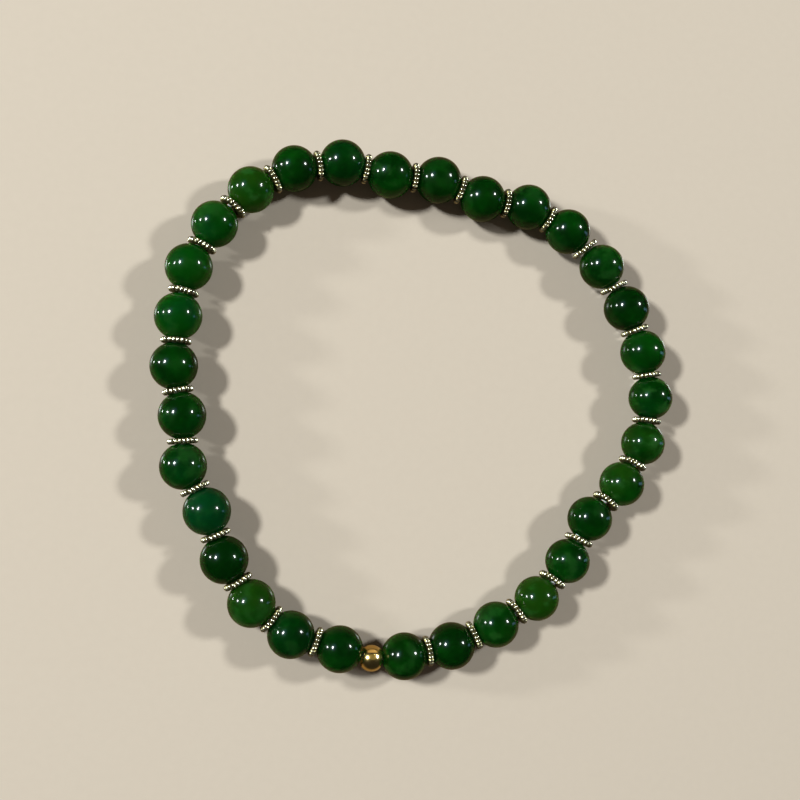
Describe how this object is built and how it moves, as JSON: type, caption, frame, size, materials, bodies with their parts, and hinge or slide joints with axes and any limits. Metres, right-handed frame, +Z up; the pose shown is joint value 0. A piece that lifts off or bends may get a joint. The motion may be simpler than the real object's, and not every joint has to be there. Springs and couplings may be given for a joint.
{
  "type": "gemstone bead bracelet",
  "caption": "Elastic bracelet of round polished green stone beads with ridged gold spacer rings between them and a small gold bead, lying in a loose loop.",
  "frame": {"origin": "on the surface the bracelet lies on, under the middle of its box", "axes": "+Z up, out of the surface; +X to the right and +Y away, as the picture shows the loop from above, with the small gold bead at -Y"},
  "size_m": [0.07, 0.0702, 0.0062],
  "materials": {
    "green_stone": "polished, slightly translucent deep green stone with faint clouds",
    "gold_ring": "polished gold plate on ridged brass",
    "gold_bead": "mirror-polished gold plate",
    "thread": "clear elastic thread"
  },
  "bodies": {
    "root": {"bead_01": "green_stone", "bead_02": "green_stone", "bead_03": "green_stone", "bead_04": "green_stone", "bead_05": "green_stone", "bead_06": "green_stone", "bead_07": "green_stone", "bead_08": "green_stone", "bead_09": "green_stone", "bead_10": "green_stone", "bead_11": "green_stone", "bead_12": "green_stone", "bead_13": "green_stone", "bead_14": "green_stone", "bead_15": "green_stone", "bead_16": "green_stone", "bead_17": "green_stone", "bead_18": "green_stone", "bead_19": "green_stone", "bead_20": "green_stone", "bead_21": "green_stone", "bead_22": "green_stone", "bead_23": "green_stone", "bead_24": "green_stone", "bead_25": "green_stone", "bead_26": "green_stone", "bead_27": "green_stone", "bead_28": "green_stone", "bead_29": "green_stone", "bead_30": "green_stone", "bead_31": "green_stone", "spacer_rings": "gold_ring", "gold_bead": "gold_bead", "elastic_thread": "thread"}
  },
  "joints": []
}
